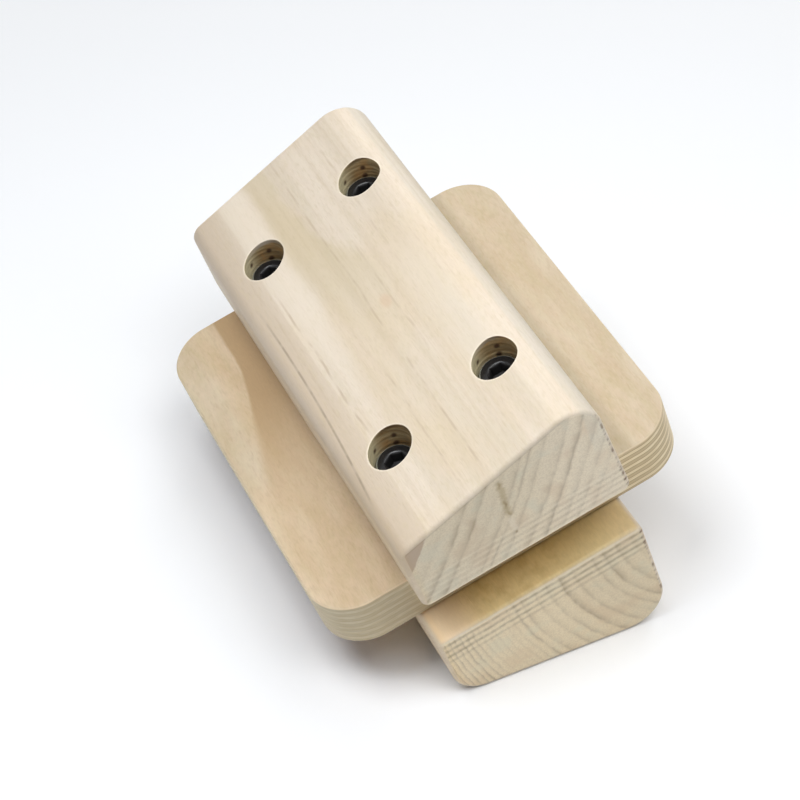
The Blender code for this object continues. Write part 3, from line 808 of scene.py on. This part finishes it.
UPPER_THIN_RADIUS = 0.005
UPPER_THICK_RADIUS = 0.0115
HEAD_BORE_RADIUS = 0.0073
HEAD_BORE_DEPTH = 0.017
UPPER_SHIFT = 0.0014
UPPER_LEAN = 0.0026
UPPER_RINGS = [
    (223.0, 0.5), (228.2, 0.95), (233.2, 1.0), (238.2, 0.55), (242.6, 0.8), (245.3, 0.85), (249.6, 0.8),
    (256.2, 0.8), (261.0, 0.95), (266.0, 0.7), (270.3, 0.7), (274.5, 0.6), (278.5, 0.5),
]  # fmt: skip
upper_wood = block_wood(
    "upper_block_wood", 1, UPPER_SHIFT, UPPER_LEAN, HEAD_BORE_RADIUS,
    rings=((-205.7, 152.0), UPPER_RINGS), heart_radius=218.2, ends=(1.75, 1.5, (0.98, 0.97, 0.94, 1.0)),
    saw_lines=(2.9, 2.5, 12.5, 0.3, (-12.0, 8.0, 0.2, 0.75)), marks=upper_marks,
)  # fmt: skip
upper_grids = wedge_grids(
    1, UPPER_SHIFT, UPPER_LEAN, UPPER_THIN_RADIUS, UPPER_THICK_RADIUS, HEAD_BORE_RADIUS, HEAD_BORE_DEPTH
)
closed_piece("upper_block_finished", upper_grids, upper_wood)

# Lower block
# The upper block's twin, turned over and clamped under the plate by the same four screws. It is bored for the
# nuts, and its rings curve the other way.
LOWER_RADIUS = 0.012
NUT_BORE_RADIUS = 0.00875
NUT_BORE_DEPTH = 0.020
LOWER_RINGS = [
    (47.8, 0.6), (53.0, 0.8), (57.7, 1.0), (61.3, 0.85), (64.5, 0.5), (68.2, 0.8), (73.0, 1.0), (77.6, 0.8),
    (81.8, 0.75), (86.6, 0.8), (89.4, 0.9), (92.0, 0.6), (94.2, 0.55), (96.0, 0.5), (98.0, 0.6),
    (100.0, 0.55), (102.0, 0.6), (104.2, 0.75), (106.2, 0.85), (108.2, 1.0), (110.0, 0.9), (111.8, 0.95),
    (113.4, 0.9), (115.0, 0.9),
]  # fmt: skip
lower_wood = block_wood(
    "lower_block_wood", -1, 0.0, 0.0, NUT_BORE_RADIUS,
    rings=((79.2, -17.6), LOWER_RINGS), heart_radius=20.0, ends=(1.0, 0.7, (1.01, 0.975, 0.89, 1.0)),
    saw_lines=(2.3, 2.65, 10.5, 0.55, None), marks=None,
)  # fmt: skip
lower_grids = wedge_grids(-1, 0.0, 0.0, LOWER_RADIUS, LOWER_RADIUS, NUT_BORE_RADIUS, NUT_BORE_DEPTH)
closed_piece("lower_block_finished", lower_grids, lower_wood)

# Plywood plate
# Thirteen birch veneers glued crosswise, cut to a rounded rectangle and sanded. Four plain holes let the
# screws through, and the blocks are clamped to both faces.
PLATE_WIDTH = 0.124
PLATE_LENGTH = 0.138
PLATE_CORNER_RADIUS = 0.0155
PLATE_EDGE_ROUNDOVER = 0.0008
PLY_COUNT = 13
PLY_SET_BACK = 1.5e-5
HOLE_WALL_ROWS = 8
RIM_BEND_IN, RIM_BEND_DOWN = 0.00018, 0.0001
PLATE_ACROSS_STEPS = 14
PLATE_ALONG_STEPS = 18
PLATE_ARC_STEPS = 20
PLATE_EDGE_STEPS = 5
PLATE_FACE_STEPS = 6
ROWS_PER_PLY = 8


def plate_grids():
    """Grids of the plate: hole cells and a border on both faces, and the outline carried down the edge.

    On the edge, the plies whose fibres end there stand back by a few hundredths of a millimetre.
    """
    half_width, half_length = PLATE_WIDTH / 2, PLATE_LENGTH / 2
    inner_width, inner_length = half_width - PLATE_CORNER_RADIUS, half_length - PLATE_CORNER_RADIUS
    corners = np.array([(-1, -1), (1, -1), (1, 1), (-1, 1)]) * (half_width, half_length)
    side_steps = [2 * PLATE_ACROSS_STEPS, 2 * PLATE_ALONG_STEPS] * 2
    parts = rounded_polygon(corners, [PLATE_CORNER_RADIUS] * 4, PLATE_ARC_STEPS, side_steps)
    outline = np.concatenate([points[:-1] for points, _ in parts] + [parts[0][0][:1]])
    normals = np.concatenate([turned[:-1] for _, turned in parts] + [parts[0][1][:1]])
    quarter = np.linspace(0.0, math.pi / 2, PLATE_EDGE_STEPS + 1)
    edge_in = PLATE_EDGE_ROUNDOVER * (1.0 - np.sin(quarter))
    edge_down = PLATE_EDGE_ROUNDOVER * (1.0 - np.cos(quarter))
    wall_foot = PLATE_THICKNESS - PLATE_EDGE_ROUNDOVER
    wall = np.linspace(PLATE_EDGE_ROUNDOVER, wall_foot, ROWS_PER_PLY * PLY_COUNT)[1:-1]
    set_back = PLY_SET_BACK * (1.0 - np.cos(wall / PLATE_THICKNESS * PLY_COUNT * math.pi))
    drawn_in = np.concatenate([edge_in, set_back, edge_in[::-1]])
    heights = -np.concatenate([edge_down, wall, (PLATE_THICKNESS - edge_down)[::-1]])
    rows = outline[None] - drawn_in[:, None, None] * normals[None]
    grids = [np.concatenate([rows, np.broadcast_to(heights[:, None, None], rows.shape[:2] + (1,))], axis=-1)]

    flats = []
    face_edge = outline - PLATE_EDGE_ROUNDOVER * normals
    inner = np.clip(outline, (-inner_width, -inner_length), (inner_width, inner_length))
    share = np.linspace(0.0, 1.0, PLATE_FACE_STEPS + 1)[:, None, None]
    flats.append(face_edge[None] * (1.0 - share) + inner[None] * share)
    angles = ring_angles(PLATE_ACROSS_STEPS, PLATE_ALONG_STEPS)
    rim_radius = SCREW_HOLE_RADIUS + HOLE_RIM_ROUNDOVER
    rim_depth, rim_opening = np.array([0.0, RIM_BEND_DOWN]), [rim_radius, rim_radius - RIM_BEND_IN]
    wall = np.linspace(HOLE_RIM_ROUNDOVER, PLATE_THICKNESS - HOLE_RIM_ROUNDOVER, HOLE_WALL_ROWS)
    depth = np.concatenate([rim_depth, wall, PLATE_THICKNESS - rim_depth[::-1]])
    opening = np.concatenate([rim_opening, np.full(HOLE_WALL_ROWS, SCREW_HOLE_RADIUS), rim_opening[::-1]])
    for x_low, x_high, hole_x in ((-inner_width, 0.0, -HOLE_ACROSS), (0.0, inner_width, HOLE_ACROSS)):
        for y_low, y_high, hole_y in ((-inner_length, 0.0, -HOLE_ALONG), (0.0, inner_length, HOLE_ALONG)):
            border = cell_border(x_low, x_high, y_low, y_high, PLATE_ACROSS_STEPS, PLATE_ALONG_STEPS)
            flats.append(flat_round_hole(border, (hole_x, hole_y), rim_radius, angles, PLATE_FACE_STEPS))
            spots = np.array([hole_x, hole_y]) + opening[:, None, None] * unit(angles)[None]
            down = np.broadcast_to(-depth[:, None, None], spots.shape[:2] + (1,))
            grids.append(np.concatenate([spots, down], axis=-1))
    for flat in flats:
        for height in (0.0, -PLATE_THICKNESS):
            grids.append(np.concatenate([flat, np.full(flat.shape[:2] + (1,), height)], axis=-1))
    return grids


def birch_plywood():
    """Rotary-cut birch on the faces, and on the edge alternating plies with thin dark glue between them.

    A browner streak of heartwood runs in from the far edge beside the blocks' thin side, and fades half way.
    """
    ply = Finish("birch_plywood_finish", Roughness=0.52, Specular_IOR_Level=0.4)
    point = ply.stack_point()
    x, y, z = ply.parts(point)[:3]
    fibre = ply.noise(point, (2.4, 0.4, 2.4), detail=3.0, roughness=0.65)
    dash = ply.patches(point, (1.6, 0.2, 1.6), 0.54, 0.74, detail=1.0)
    curl = ply.noise(point, (0.8, 0.25, 0.8), roughness=0.6)
    colour = ply.coats(
        ply.tones(ply.patches(point, (0.1, 0.03, 0.1), 0.35, 0.65), (222, 202, 170), (211, 189, 152)),
        (ply.product(ply.patches(point, (0.22, 0.04, 0.22), 0.42, 0.66, detail=3.0), 0.3), (200, 172, 132)),
        (ply.product(ply.patches(point, (0.4, 0.13, 0.4), 0.35, 0.65), 0.3), (224, 196, 170)),
        (ply.between(curl, 0.5, 0.68, 0.0, 0.16), (176, 152, 112)),
        (ply.between(curl, 0.46, 0.34, 0.0, 0.16), (228, 206, 178)),
    )
    shade_beside_block = ply.window(x, 20.0, 30.0, 43.0, 47.5)
    outside = ply.product(ply.between(x, -48.0, -56.0), ply.between(y, -20.0, 5.0))
    colour = ply.blend(ply.between(x, -10.0, 10.0), colour, (0.827, 0.868, 0.925, 1.0), "MULTIPLY")
    # painted shade on the plate along the blocks' thick side
    colour = ply.blend(shade_beside_block, colour, (0.85, 0.865, 0.86, 1.0), "MULTIPLY")
    colour = ply.blend(outside, colour, (0.91, 0.95, 0.99, 1.0), "MULTIPLY")

    # Heartwood streak, fading towards the near end, and the underside painted browner to darken the shade
    # below it
    reach = ply.between(y, 50.0, -30.0, 43.0, 61.0)
    into = ply.plus(ply.plus(x, reach), ply.product(ply.noise(point, scale=0.12), 0.8))
    soft = ply.between(y, 30.0, 0.0, 1.2, 5.0)
    inside = ply.put("MapRange", {0: into, 1: 0.0, 2: soft}, interpolation_type="SMOOTHSTEP").outputs[0]
    inside = ply.product(inside, ply.between(x, -20.0, -34.0), ply.between(into, 20.0, 4.0, 0.7, 1.0))
    colour = ply.coats(
        colour,
        (ply.product(inside, ply.between(y, -28.0, 34.0, 0.2, 0.95)), (187, 157, 117)),
        (ply.product(dash, 0.16), (182, 152, 114)),
    )
    colour = ply.shaded(colour, ply.between(fibre, 0.25, 0.75, 0.962, 1.034))
    # painted shade: the underside darker and browner
    colour = ply.blend(ply.between(z, -17.2, -17.9), colour, (0.7, 0.585, 0.45, 1.0), "MULTIPLY")

    # Edge, where every second ply ends darker, least clearly at the corners on the blocks' thin side
    depth = ply.product(z, -PLY_COUNT / (PLATE_THICKNESS * 1000.0))
    ripple = ply.less(ply.noise(point, (0.08, 0.08, 0.4)), 0.5)
    depth = ply.plus(depth, ply.product(ripple, 0.3))
    swing = ply.maths("COSINE", ply.product(ply.less(depth, 0.5), math.pi))
    joint = ply.maths("ABSOLUTE", ply.maths("SINE", ply.product(depth, math.pi)))
    clear = ply.between(ply.maths("ABSOLUTE", x), 61.5, 56.5, 0.3, 1.0)
    layer = ply.product(ply.between(swing, -0.3, 0.5), ply.between(x, -20.0, 45.0, 0.3, 0.7), clear)
    glue = ply.product(ply.between(joint, 0.45, 0.15), clear, ply.between(x, -20.0, 45.0, 0.2, 0.75))
    worn = ply.patches(point, (0.25, 0.25, 1.4), 0.3, 0.7)
    edge_light = ply.tones(worn, (234, 218, 184), (224, 205, 166))
    edge_dark = ply.tones(worn, (178, 154, 112), (194, 170, 128))
    edge_colour = ply.coats(ply.blend(layer, edge_light, edge_dark), (glue, (158, 132, 88)))
    edge_colour = ply.shaded(edge_colour, ply.between(x, -45.0, 20.0, 0.78, 1.06))
    colour = ply.blend(ply.window(z, -17.6, -17.3, -0.75, -0.45), colour, edge_colour)
    # painted highlight along the plate's rounded upper edge
    arris_highlight = ply.product(ply.window(z, -0.62, -0.45, -0.2, -0.05), 0.3)
    ply.colour(ply.coats(colour, (arris_highlight, (250, 230, 192))))
    ply.roughness(ply.between(fibre, 0.3, 0.7, 0.48, 0.6))
    ply.relief(ply.less(ply.product(fibre, 0.5), ply.product(dash, 0.3)), WOOD_RELIEF)
    return ply.material


closed_piece("plywood_plate_finished", plate_grids(), birch_plywood())

# Screws
# Socket head screws of blackened steel, each on a washer of the same. The heads are knurled round the side
# and the shanks are rolled with a thread. They run down through the blocks and the plate.
SCREW_RADIUS = 0.004
HEAD_RADIUS = 0.0065
HEAD_HEIGHT = 0.008
HEAD_EDGE = 0.0009
SOCKET_WIDTH = 0.006
SOCKET_DEPTH = 0.004
SOCKET_MOUTH_RADIUS = 0.0041
SOCKET_POINT_DEPTH = 0.0012
WASHER_THICKNESS = 0.0016
NUT_HEIGHT = 0.0065
STICK_OUT = 0.003
THREAD_PITCH = 0.00125
THREAD_DEPTH = 0.00065
THREADED_LENGTH = 0.028
THREAD_ROWS_PER_TURN = 8
TIP_CHAMFER = 0.0008
KNURL_COUNT = 48
KNURL_DEPTH = 0.00012
KNURL_TOP, KNURL_FOOT = 0.0003, 0.0006
MOUTH_SLOPE = 0.8
HEAD_FOOT_CHAMFER = 0.0003
HEAD_ARC_STEPS = 7
STEPS_ROUND = 192
SOCKET_TURNS = {"thin_near": 36.0, "thick_near": 0.0, "thin_far": 20.0, "thick_far": 44.0}
PLACES = {
    "thin_near": (-HOLE_ACROSS, -HOLE_ALONG),
    "thick_near": (HOLE_ACROSS, -HOLE_ALONG),
    "thin_far": (-HOLE_ACROSS, HOLE_ALONG),
    "thick_far": (HOLE_ACROSS, HOLE_ALONG),
}


def hexagon_reach(angles, width):
    """Distance from a hexagon's middle to its side, in each direction: half its width over the cosine."""
    from_flat = (angles + math.pi / 6) % (math.pi / 3) - math.pi / 6
    return width / 2 / np.cos(from_flat)


def turned_rows(rows, angles, place, foot):
    """Rows of (radius, height) round an upright axis, where either may be a number or one for each angle."""
    cosines, sines, spots = np.cos(angles), np.sin(angles), []
    for radius, height in rows:
        height = np.broadcast_to(foot + height, angles.shape)
        spots.append(np.stack([place[0] + radius * cosines, place[1] + radius * sines, height], axis=-1))
    return np.stack(spots)


def screw_rows(angles, turn, length):
    """Rows from the socket's point up its walls, over the head, down the knurled side and the thread."""
    reach = hexagon_reach(angles - turn + math.pi / 6, SOCKET_WIDTH)
    bottom = HEAD_HEIGHT - SOCKET_DEPTH
    rows = [(0.0, bottom - SOCKET_POINT_DEPTH)]
    rows += [(reach * share, bottom - SOCKET_POINT_DEPTH * (1.0 - share)) for share in (0.25, 0.5, 0.75, 1.0)]
    lip = SOCKET_MOUTH_RADIUS - reach
    wall_top = HEAD_HEIGHT - MOUTH_SLOPE * lip
    rows += [(reach, bottom + (wall_top - bottom) * share) for share in (0.33, 0.66, 1.0)]
    for quarter in np.linspace(math.pi / 2, 0.0, HEAD_ARC_STEPS + 1)[1:]:
        drop = MOUTH_SLOPE * lip * (1.0 - math.cos(quarter))
        rows.append((SOCKET_MOUTH_RADIUS - lip * math.sin(quarter), HEAD_HEIGHT - drop))
    inner = SOCKET_MOUTH_RADIUS
    rows += [(inner + (HEAD_RADIUS - HEAD_EDGE - inner) * share, HEAD_HEIGHT) for share in (0.5, 1.0)]
    for quarter in np.linspace(0.0, math.pi / 2, HEAD_ARC_STEPS + 1)[1:]:
        inset = HEAD_EDGE * (1.0 - math.sin(quarter))
        rows.append((HEAD_RADIUS - inset, HEAD_HEIGHT - HEAD_EDGE * (1.0 - math.cos(quarter))))
    knurl = HEAD_RADIUS - KNURL_DEPTH * (0.5 + 0.5 * np.cos(angles * KNURL_COUNT))
    rows += [(knurl, height) for height in (HEAD_HEIGHT - HEAD_EDGE - KNURL_TOP, KNURL_FOOT)]
    rows += [(HEAD_RADIUS - HEAD_FOOT_CHAMFER, 0.0), (SCREW_RADIUS, 0.0)]
    smooth_end = -(length - THREADED_LENGTH)
    rows += [(SCREW_RADIUS, smooth_end)]
    thread_steps = int(THREADED_LENGTH / THREAD_PITCH * THREAD_ROWS_PER_TURN)
    for share in np.linspace(0.0, 1.0, thread_steps + 1)[1:]:
        height = smooth_end - (THREADED_LENGTH - TIP_CHAMFER) * share
        phase = (height / THREAD_PITCH - angles / math.tau) % 1.0
        fade = min(1.0, (smooth_end - height) / THREAD_PITCH)
        rows.append((SCREW_RADIUS - fade * THREAD_DEPTH * np.abs(2.0 * phase - 1.0), height))
    rows += [(SCREW_RADIUS - TIP_CHAMFER, -length), (0.0, -length)]
    return rows


def blackened_steel():
    """Dark oxide with a faint bloom, a painted highlight round the head's edge and rougher inside the socket.
    """
    steel = Finish("black_steel_finish", Roughness=0.2, IOR=1.4)
    point = steel.stack_point()
    x, y = steel.parts(point)[:2]
    bloom = steel.noise(point, scale=1.3, detail=3.0)
    sideways, lengthways = steel.from_hole_axis(x, y)
    reach = steel.length(steel.vector(sideways, lengthways, 0.0))
    # painted highlight: a pale ring round the head's rounded edge, strongest on the thin side
    worn = steel.between(sideways, 5.0, -4.0, 0.3, 0.65)
    worn = steel.product(worn, steel.window(reach, 5.75, 6.05, 6.3, 6.45))
    colour = steel.tones(bloom, (20, 20, 21), (32, 31, 31))
    steel.colour(steel.coats(colour, (worn, (168, 168, 156))))
    in_socket = steel.between(reach, 3.6, 3.3, 0.0, 0.45)
    steel.roughness(steel.plus(steel.between(bloom, 0.3, 0.7, 0.15, 0.23), in_socket))
    steel.relief(steel.noise(point, scale=6.0), 0.00001)
    return steel.material


def refinish(node, material):
    """A CAD solid keeps its shape and gets a material."""
    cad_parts[node].data.materials.clear()
    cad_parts[node].data.materials.append(material)


black_steel = blackened_steel()
around_screw = np.linspace(0.0, math.tau, STEPS_ROUND + 1)
upper_slope = (THICK_HEIGHT - THIN_HEIGHT) / (BLOCK_WIDTH - UPPER_LEAN)
lower_slope = (THICK_HEIGHT - THIN_HEIGHT) / BLOCK_WIDTH
for place_name, place in PLACES.items():
    from_thin_side = place[0] + BLOCK_WIDTH / 2
    washer_foot = 2 * SEAT_GAP + THIN_HEIGHT + (from_thin_side - UPPER_SHIFT) * upper_slope - HEAD_BORE_DEPTH
    head_foot = washer_foot + WASHER_THICKNESS + SEAT_GAP
    nut_washer_foot = -PLATE_THICKNESS - 2 * SEAT_GAP - WASHER_THICKNESS
    nut_washer_foot -= THIN_HEIGHT + from_thin_side * lower_slope - NUT_BORE_DEPTH
    nut_foot = nut_washer_foot - SEAT_GAP - NUT_HEIGHT
    rows = screw_rows(around_screw, math.radians(SOCKET_TURNS[place_name]), head_foot - nut_foot + STICK_OUT)
    grid = turned_rows(rows, around_screw, place, head_foot)
    closed_piece(f"screw_{place_name}_finished", [grid], black_steel)
    refinish(f"head_washer_{place_name}", black_steel)

# Nuts and washers
# Hexagon nuts and plain washers of zinc plated steel, one pair on each screw. They sit out of sight in the
# bores of the lower block, and pull the stack together.
zinc = Finish("zinc_plate_finish", Metallic=1.0, Roughness=0.32)
spangle = zinc.noise(zinc.stack_point(), scale=0.9, detail=3.0)
zinc.colour(zinc.tones(spangle, (196, 198, 200), (214, 214, 210)))
zinc.roughness(zinc.between(spangle, 0.3, 0.7, 0.26, 0.4))
for place_name in PLACES:
    for kind in ("nut", "nut_washer"):
        refinish(f"{kind}_{place_name}", zinc.material)
